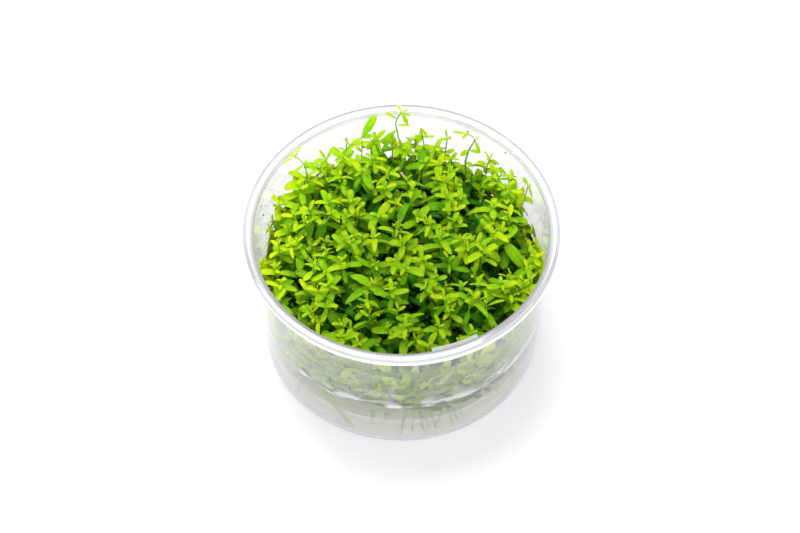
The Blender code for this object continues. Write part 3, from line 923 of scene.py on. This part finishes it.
def plantlet_mesh(name, growth):
    """All of a plantlet's leaves, stems and roots in one mesh."""
    shape = bmesh.new()
    blade_layer = shape.verts.layers.float_vector.new("blade")
    growth_layer = shape.verts.layers.float_vector.new("growth")
    for form, leaves in zip(leaf_forms, growth.leaves):
        first = len(shape.verts)
        for _ in leaves:
            shape.from_mesh(form)
        each = len(form.vertices)
        for i, vert in enumerate(list(shape.verts)[first:]):
            place, age, tint, lie = leaves[i // each]
            if lie == WET:
                vert.co = on_wall(place, vert.co)
                vert[growth_layer] = (age, tint, 0)
                vert[blade_layer].z = -WET_DARKNESS
                continue
            spot = keep_inside(place @ vert.co)
            spot.z = max(spot.z, GEL_TOP + LEAF_CLEAR)
            vert.co = spot
            # Painted light: brighter and yellower at the back and sides, darker in front.
            painted_light_and_tone = painted_sunlight(spot)
            if lie == ON_WALL:
                # A leaf on the wall gets a random tone of its own instead.
                painted_light_and_tone = WALL_LEAF_SPREAD * (tint - WALL_LEAF_EVEN)
            vert[blade_layer].z = painted_light_and_tone
            tint = max(0, min(1, tint + PAINTED_LIGHT_TINT * painted_light_and_tone))
            # Painted light: age taken down near the wall, so leaves there are pale; painted shade
            # deeper in.
            vert[growth_layer] = (age * (1 - wall_light(spot)), tint, shade(spot))
    for i, lines in enumerate((growth.lines, growth.roots)):
        if lines:
            shape.from_mesh(stem_mesh(lines, i + 1))
    if growth.wall_roots:
        shape.from_mesh(press_to_wall(stem_mesh(growth.wall_roots, 2, Vector)))
    return to_mesh(shape, name)


def leaf_tissue():
    """Leaf blade: thin tissue that lets light through, with a waxy skin and a pale midrib."""
    material, tree, shader = new_material(
        "leaf blade, living tissue",
        Roughness=0.42,
        Specular_IOR_Level=0.06,
        Subsurface_Weight=0.5,
        Subsurface_Radius=(0.5, 1.0, 0.1),
        Subsurface_Scale=0.5 * MM,
    )
    growth = add_node(tree, "ShaderNodeAttribute", attribute_name="growth").outputs["Vector"]
    age, leaf_tint, depth = add_node(tree, "ShaderNodeSeparateXYZ", {"Vector": growth}).outputs
    blade = add_node(tree, "ShaderNodeAttribute", attribute_name="blade").outputs["Vector"]
    across, along, blade_light_and_tone = add_node(tree, "ShaderNodeSeparateXYZ", {"Vector": blade}).outputs
    by_age = add_node(tree, "ShaderNodeValToRGB", {"Fac": age}, AGE_COLOURS)
    by_leaf = add_node(tree, "ShaderNodeValToRGB", {"Fac": leaf_tint}, LEAF_COLOURS)
    mixed = add_node(
        tree,
        "ShaderNodeMix",
        {"Factor": LEAF_COLOUR_SHARE, "A": by_age, "B": by_leaf},
        data_type="RGBA",
    )
    # Painted shade: leaves deep under the top of the leaves are mixed towards a dark green.
    in_shade = add_node(
        tree,
        "ShaderNodeMix",
        {"Factor": depth, "A": mixed, "B": linear(SHADE_COLOUR)},
        data_type="RGBA",
    )
    # The tip ripens to a warm yellow, most of all on young leaves.
    tip = add_node(
        tree,
        "ShaderNodeMapRange",
        {"Value": along, "From Min": TIP_FROM, "From Max": 1.0, "To Max": TIP_RIPENESS},
        interpolation_type="SMOOTHSTEP",
    )
    youth = add_node(
        tree, "ShaderNodeMapRange", {"Value": age, "From Min": OLD_AGE, "From Max": YOUNG_AGE}
    )
    ripeness = add_node(tree, "ShaderNodeMath", {0: tip, 1: youth}, operation="MULTIPLY")
    ripened = add_node(
        tree,
        "ShaderNodeMix",
        {"Factor": ripeness, "A": in_shade, "B": linear(TIP_COLOUR)},
        data_type="RGBA",
    )
    # The midrib runs down the middle, and side veins leave it at a slant.
    offset = add_node(tree, "ShaderNodeMath", {0: across}, operation="ABSOLUTE")
    midrib = add_node(
        tree,
        "ShaderNodeMapRange",
        {"Value": offset, "From Max": MIDRIB_WIDTH, "To Min": MIDRIB_SHARE, "To Max": 0.0},
    )
    slant = add_node(
        tree,
        "ShaderNodeMath",
        {0: offset, 1: -SIDE_VEIN_SLANT, 2: along},
        operation="MULTIPLY_ADD",
    )
    turns = add_node(tree, "ShaderNodeMath", {0: slant, 1: VEIN_CLOSENESS}, operation="MULTIPLY")
    waves = add_node(tree, "ShaderNodeMath", {0: turns}, operation="SINE")
    side_veins = add_node(
        tree,
        "ShaderNodeMapRange",
        {"Value": waves, "From Min": 0.3, "From Max": 1.0, "To Max": SIDE_VEIN_SHARE},
    )
    veins = add_node(tree, "ShaderNodeMath", {0: midrib, 1: side_veins}, operation="MAXIMUM")
    veined = add_node(
        tree,
        "ShaderNodeMix",
        {"Factor": veins, "A": ripened, "B": linear(VEIN_COLOUR)},
        data_type="RGBA",
    )
    place = add_node(tree, "ShaderNodeTexCoord").outputs["Object"]
    mottle = add_node(
        tree, "ShaderNodeTexNoise", {"Vector": place, "Scale": 1 / MOTTLE_SIZE, "Detail": 3}
    )
    mottled = add_node(
        tree,
        "ShaderNodeMapRange",
        {
            "Value": mottle,
            "From Min": MOTTLE_RANGE[0],
            "From Max": MOTTLE_RANGE[1],
            "To Min": MOTTLE_LIGHTNESS[0],
            "To Max": MOTTLE_LIGHTNESS[1],
        },
    )
    # Painted light: leaves near the clear wall, at the back and the sides, are painted paler,
    # and those in front darker.
    painted_light_and_tone = add_node(tree, "ShaderNodeMath", {0: mottled, 1: blade_light_and_tone}, operation="ADD")
    lit = add_node(tree, "ShaderNodeHueSaturation", {"Color": veined, "Value": painted_light_and_tone})
    tree.links.new(lit.outputs["Color"], shader.inputs["Base Color"])
    gloss = add_node(
        tree,
        "ShaderNodeMapRange",
        {
            "Value": mottle,
            "From Min": MOTTLE_RANGE[0],
            "From Max": MOTTLE_RANGE[1],
            "To Min": LEAF_ROUGHNESS[0],
            "To Max": LEAF_ROUGHNESS[1],
        },
    )
    tree.links.new(gloss.outputs["Result"], shader.inputs["Roughness"])
    relief = add_node(
        tree,
        "ShaderNodeBump",
        {"Strength": 0.3, "Distance": VEIN_RELIEF, "Height": veins},
        invert=True,
    )
    tree.links.new(relief.outputs["Normal"], shader.inputs["Normal"])
    return material


def stem_tissue():
    """Stem: soft, juicy and round, paler than the leaves, greener in patches."""
    material, tree, shader = new_material(
        "stem, living tissue",
        Roughness=0.4,
        Specular_IOR_Level=0.12,
        Subsurface_Weight=0.3,
        Subsurface_Radius=(0.8, 1.0, 0.4),
        Subsurface_Scale=0.4 * MM,
    )
    place = add_node(tree, "ShaderNodeTexCoord").outputs["Object"]
    patches = add_node(
        tree, "ShaderNodeTexNoise", {"Vector": place, "Scale": 1 / STEM_PATCHES, "Detail": 3}
    )
    colour = add_node(tree, "ShaderNodeValToRGB", {"Fac": patches}, STEM_COLOURS)
    tree.links.new(colour.outputs["Color"], shader.inputs["Base Color"])
    return material


def root_tissue():
    """Root: pale, wet and half see-through, greener in patches."""
    material, tree, shader = new_material(
        "root, living tissue",
        Roughness=0.3,
        Subsurface_Weight=0.4,
        Subsurface_Scale=0.4 * MM,
    )
    place = add_node(tree, "ShaderNodeTexCoord").outputs["Object"]
    patches = add_node(
        tree, "ShaderNodeTexNoise", {"Vector": place, "Scale": 1 / ROOT_PATCHES, "Detail": 2}
    )
    colour = add_node(tree, "ShaderNodeValToRGB", {"Fac": patches}, ROOT_COLOURS)
    tree.links.new(colour.outputs["Color"], shader.inputs["Base Color"])
    return material


chance = random.Random(SEED)
plantlets = sorted(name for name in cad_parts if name.startswith("plantlet"))
middles = []
for name in plantlets:
    low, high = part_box(name)
    middles.append(((low + high) / 2).to_2d())
growths = [Growth(chance) for _ in plantlets]


def nearest(place):
    """The number of the plantlet that stands nearest to a place."""
    return min(range(len(middles)), key=lambda i: (middles[i] - place).length)


def grow_shoot(place, height, most_lean):
    own = nearest(place)
    pull = FOOT_PULL * min(1, max(0, STAND_RADIUS - place.length) / EDGE_DEPTH)
    foot = place.lerp(middles[own], pull)
    foot *= min(1, (inner_radius(GEL_TOP) - FOOT_CLEAR) / foot.length)
    lean = Vector((0, 0, 1))
    lean.rotate(Matrix.Rotation(chance.uniform(0, most_lean), 3, "X"))
    lean.rotate(Matrix.Rotation(chance.uniform(0, math.tau), 3, "Z"))
    rise = height - GEL_TOP
    foot = Vector((*foot, GEL_TOP - FOOT_DEPTH))
    tip = Vector((*place, height))
    upright = foot + Vector((0, 0, rise * SHOOT_STRAIGHT))
    leant = tip - lean * rise * SHOOT_BEND
    line = interpolate_bezier(foot, upright, leant, tip, STEM_POINTS)
    growths[own].add_shoot([Vector(point) for point in line], len(PAIRS))


for i, place in enumerate(spiral(SHOOTS, STAND_RADIUS)):
    place += Vector((chance.uniform(-1, 1), chance.uniform(-1, 1))) * SHOOT_WANDER
    place *= min(1, STAND_RADIUS / place.length)
    height = canopy_height(place) + chance.uniform(-1, 1) * CANOPY_UNEVEN
    if i % SHORT_EVERY == 0:
        height -= chance.uniform(*SHORT_BY)
    grow_shoot(place, height, SHOOT_LEAN)

for place in spiral(LOW_SHOOTS, STAND_RADIUS - EDGE_DEPTH / 2):
    grow_shoot(place, chance.uniform(*LOW_SHOOT_HEIGHTS), 2 * SHOOT_LEAN)

for i in range(WALL_SHOOTS):
    height = chance.uniform(*WALL_SHOOT_HEIGHTS)
    place = Vector((inner_radius(height) - chance.uniform(*WALL_SHOOT_CLEAR), 0))
    place.rotate(Matrix.Rotation(i * GOLDEN_ANGLE, 2))
    height -= BACK_THINNING / 2 * max(0, place.y / STAND_RADIUS)
    grow_shoot(place, height, SHOOT_LEAN)

# The sprigs that stand clear of the rest, in millimetres. Each is the points of its stem, then its
# leaves: the number of the point that it leaves from, heading, rise, length and width.
SPRIGS = {
    "tall one at the back": (
        (
            (0.5, 40, 45), (-1, 41.5, 50), (-1.5, 42, 53.5), (-2, 42, 56), (-1.5, 42, 59),
            (0, 42, 62.5),
        ),
        (
            (2, -165, -48, 7.5, 2.1), (5, -30, -65, 5.5, 1.4), (4, 168, 35, 4.5, 1.1),
            (5, 115, 10, 3, 0.9), (5, -40, -35, 2, 1.5), (5, 30, -5, 3, 0.6),
            (5, 10, -40, 4, 0.7), (3, 0, -5, 5, 0.8), (1, -60, -50, 3.2, 1.1),
        ),
    ),
    "its neighbour": (
        ((-3, 38, 42), (-3, 39.5, 47), (-3, 41, 52.5)),
        (
            (1, -170, 15, 3.4, 1.1), (1, 5, 15, 3.2, 0.8), (2, -150, -63, 10, 1.5),
            (0, -30, 10, 3.6, 1.4),
        ),
    ),
    "one with a long spoon of a leaf": (
        ((-13, 37, 48), (-13, 39.5, 52.5)),
        (
            (1, 20, 60, 10.5, 2.9), (1, -15, 28, 4, 1.7), (1, -158, -33, 4.5, 1.8),
            (0, 180, 55, 3.5, 1.2),
        ),
    ),
    "beside the spoon": (
        ((-10, 38, 47), (-9, 39.5, 50.5)),
        ((1, 17, 49, 6, 1.6), (1, -45, -66, 6, 1.6), (1, -158, -48, 4, 1.5)),
    ),
    "short post": (
        ((-18.5, 36.5, 42.5), (-18, 37.5, 48.5), (-18, 38, 52)),
        (
            (2, 100, 75, 1.8, 1.2), (1, 172, 10, 3, 0.6), (1, 10, 40, 3.5, 1.3),
            (1, -150, -40, 2.5, 1.4), (2, -20, -36, 1.8, 1),
        ),
    ),
    "left head": (
        ((-31.5, 24, 49.5), (-30.5, 25, 52), (-31.5, 26, 55.5), (-33, 27, 57), (-34.5, 27, 58.5)),
        (
            (4, -167, -35, 5, 0.8), (4, 40, 38, 4.2, 0.6), (4, 25, 25, 1.3, 1.2),
            (4, 170, 37, 1.7, 1.1), (2, -158, -38, 6, 1.1), (2, 35, 36, 1.8, 1.1),
            (2, 5, -10, 5, 1.7), (0, -166, -15, 7, 3),
        ),
    ),
    "left tips": (
        ((-23.5, 30, 47), (-24.5, 32, 50)),
        ((1, 155, 60, 5, 1.1), (1, 180, -5, 4, 1.6), (1, 40, 60, 4, 1), (0, -28, -13, 3, 1.5)),
    ),
    "crook": (
        ((7.5, 40.5, 46.5), (7, 41.5, 50), (6.5, 42, 54.5)),
        (
            (2, -108, -70, 3.7, 1), (2, -22, -62, 4.5, 1.1), (1, -165, 10, 5, 0.9),
            (1, -3, 12, 4.2, 0.9), (0, -156, 10, 3.6, 1.6), (0, -26, 5, 3.5, 1.7),
        ),
    ),
    "small head": (
        ((14.5, 38.5, 46), (15, 39.5, 51.5)),
        (
            (1, 117, 73, 4.5, 0.8), (1, 180, 8, 1.6, 1.1), (1, 8, 35, 1.8, 1.1),
            (0, -156, 30, 4, 1.6), (0, -22, 35, 4, 1.6),
        ),
    ),
    "right arch": (
        (
            (21, 34, 46.5), (22, 35, 51.5), (23, 35.5, 53.5), (24, 36, 55.5), (23, 36, 57.5),
            (21.5, 36.5, 58),
        ),
        (
            (5, 173, 8, 5, 0.9), (5, -155, -30, 2.2, 1.2), (5, 76, 74, 1.5, 1.1),
            (3, 27, 39, 1.8, 0.5), (3, -45, -65, 5.3, 1.2), (1, -5, -12, 4, 1.2),
            (1, -160, -28, 3.2, 1.7), (0, -30, -10, 3, 1.5),
        ),
    ),
    "dark leaf at the right": (
        ((31, 23, 50), (32.5, 24, 53.5)),
        (
            (1, -20, -10, 4.3, 0.9), (1, 100, 63, 2.2, 1), (1, 167, 35, 3.6, 1.4),
            (0, -156, 0, 3.2, 1.6), (0, -39, -10, 3.5, 1.5),
        ),
    ),
    "right clump": (
        ((39, 16.5, 45), (40, 18.5, 48.5), (41, 20.5, 51.5)),
        (
            (2, 146, 50, 3.5, 1.3), (2, -37, -52, 4.8, 2), (2, 5, 18, 2, 1.3),
            (1, -159, -41, 3.8, 1.8), (1, -22, -34, 4, 1.8), (1, 180, 20, 2.6, 1.1),
        ),
    ),
    "right low arch": (
        ((33.5, 17, 46), (35, 19.5, 50), (33.5, 21, 52)),
        (
            (1, -8, 0, 4.5, 1.6), (2, -146, -29, 1.8, 1), (1, -168, -25, 3.3, 1.6),
            (1, -39, -45, 3.3, 1.6),
        ),
    ),
}
for stem, leaves in SPRIGS.values():
    points = [Vector(point) * MM for point in stem]
    own = nearest(points[0].to_2d())
    foot = Vector((*points[0].to_2d().lerp(middles[own], FOOT_PULL), GEL_TOP - FOOT_DEPTH))
    growths[own].lines.append(([foot, *points], STEM_RADIUS))
    for number, heading, rise, length, width in leaves:
        way = Vector((length * MM, 0, 0))
        way.rotate(Euler((0, -math.radians(rise), math.radians(heading))))
        growths[own].add_set_leaf(points[number], points[number] + way, width * MM, SPOON)

for i in range(WALL_LEAVES):
    turn = i * GOLDEN_ANGLE
    place = way_at(turn).xy * STAND_RADIUS
    thinning = BACK_THINNING * max(0, min(1, 1 + place.y / STAND_RADIUS * THINNING_REACH))
    height = chance.uniform(WALL_LEAF_LOW, canopy_height(place) - WALL_LEAF_BELOW - thinning)
    growths[nearest(place)].add_wall_leaf(turn, height)

roots_at_wall = list(ROOTS_AT_WALL)
for turn in range(*ROOTS_ROUND):
    bottom = chance.uniform(*ROUND_ROOT_ENDS)
    last_turn = turn + chance.uniform(-1, 1) * ROUND_ROOT_SLANT
    roots_at_wall.append((turn, ROUND_ROOT_TOP, last_turn, bottom))
for first_turn, top, last_turn, bottom in roots_at_wall:
    line = []
    for i in range(ROOT_POINTS):
        share = i / (ROOT_POINTS - 1)
        turn = math.radians(first_turn + (last_turn - first_turn) * share)
        turn += math.radians(chance.uniform(-1, 1) * ROOT_SWAY)
        height = (top + (bottom - top) * share) * MM
        out = way_at(turn) * (inner_radius(height) - IN_THE_GAP)
        line.append(Vector((out.x, out.y, height)))
    growths[nearest(line[0].to_2d())].wall_roots.append((line, WALL_ROOT_RADIUS))


def growth_at_wall(turn):
    """The growth of the plantlet that stands nearest to the wall here."""
    return growths[nearest(way_at(turn).xy * STAND_RADIUS)]


for turn, height, lean, length, width in WET_LEAVES:
    turn, lean = math.radians(turn), math.radians(lean)
    growth_at_wall(turn).add_wet_leaf(turn, height * MM, lean, length * MM, width * MM)
for turn, height in FLECKS:
    turn, lean = math.radians(turn), chance.uniform(0, math.pi)
    growth_at_wall(turn).add_wet_leaf(turn, height * MM, lean, FLECK_LENGTH, FLECK_LENGTH / 2)

for growth in growths:
    for line, _ in chance.sample(growth.lines, min(ROOTS_EACH, len(growth.lines))):
        growth.add_root(line[0])

tissues = (leaf_tissue(), stem_tissue(), root_tissue())
for name, growth in zip(plantlets, growths):
    mesh = plantlet_mesh(name + "_foliage", growth)
    for tissue in tissues:
        mesh.materials.append(tissue)
    add_piece(name + "_foliage", mesh, [name])


# Stage. A plain white table under soft light from above and all round, as in a product photo.
# The camera looks down at the cup from in front.
FLOOR_SIZE = 3.0
CAMERA_DISTANCE = 0.65
CAMERA_RISE = math.radians(55.245)
CAMERA_AIM = Vector((-0.47 * MM, 0, 35.17 * MM))
CAMERA_LENS = 90.3
ROOM_LIGHT = 0.91


def white_table():
    """Matt white board, even and clean."""
    return new_material("white board, matt", Base_Color=linear("#fafafa"), Roughness=0.9)[0]


floor_shape = bmesh.new()
bmesh.ops.create_grid(floor_shape, x_segments=1, y_segments=1, size=FLOOR_SIZE / 2)
table_mesh = to_mesh(floor_shape, "table")
table_mesh.materials.append(white_table())
table = add_object("table", table_mesh)

world = bpy.data.worlds.new("soft room")
world.use_nodes = True
sky = world.node_tree.nodes["Background"]
sky.inputs["Color"].default_value = linear("#fbfbff")
sky.inputs["Strength"].default_value = ROOM_LIGHT
scene = bpy.context.scene
scene.world = world


def add_softbox(name, place, size, power):
    """A square softbox that faces the cup."""
    lamp = bpy.data.lights.new(name, "AREA")
    lamp.shape = "SQUARE"
    lamp.size = size
    lamp.energy = power
    softbox = add_object(name, lamp)
    softbox.location = place
    softbox.rotation_euler = (CAMERA_AIM - softbox.location).to_track_quat("-Z", "Y").to_euler()


add_softbox("key softbox", place=(-0.1, 0.24, 0.85), size=0.45, power=4.4)
add_softbox("fill softbox", place=(0.0, -0.9, 0.35), size=0.8, power=4.4)

camera = bpy.data.cameras.new("camera")
camera.lens = CAMERA_LENS
camera_object = add_object("camera", camera)
back = Vector((0, -math.cos(CAMERA_RISE), math.sin(CAMERA_RISE)))
camera_object.location = CAMERA_AIM + back * CAMERA_DISTANCE
camera_object.rotation_euler = (math.pi / 2 - CAMERA_RISE, 0, 0)
scene.camera = camera_object
scene.view_settings.view_transform = "Standard"
scene.cycles.max_bounces = 64
scene.cycles.transmission_bounces = 64
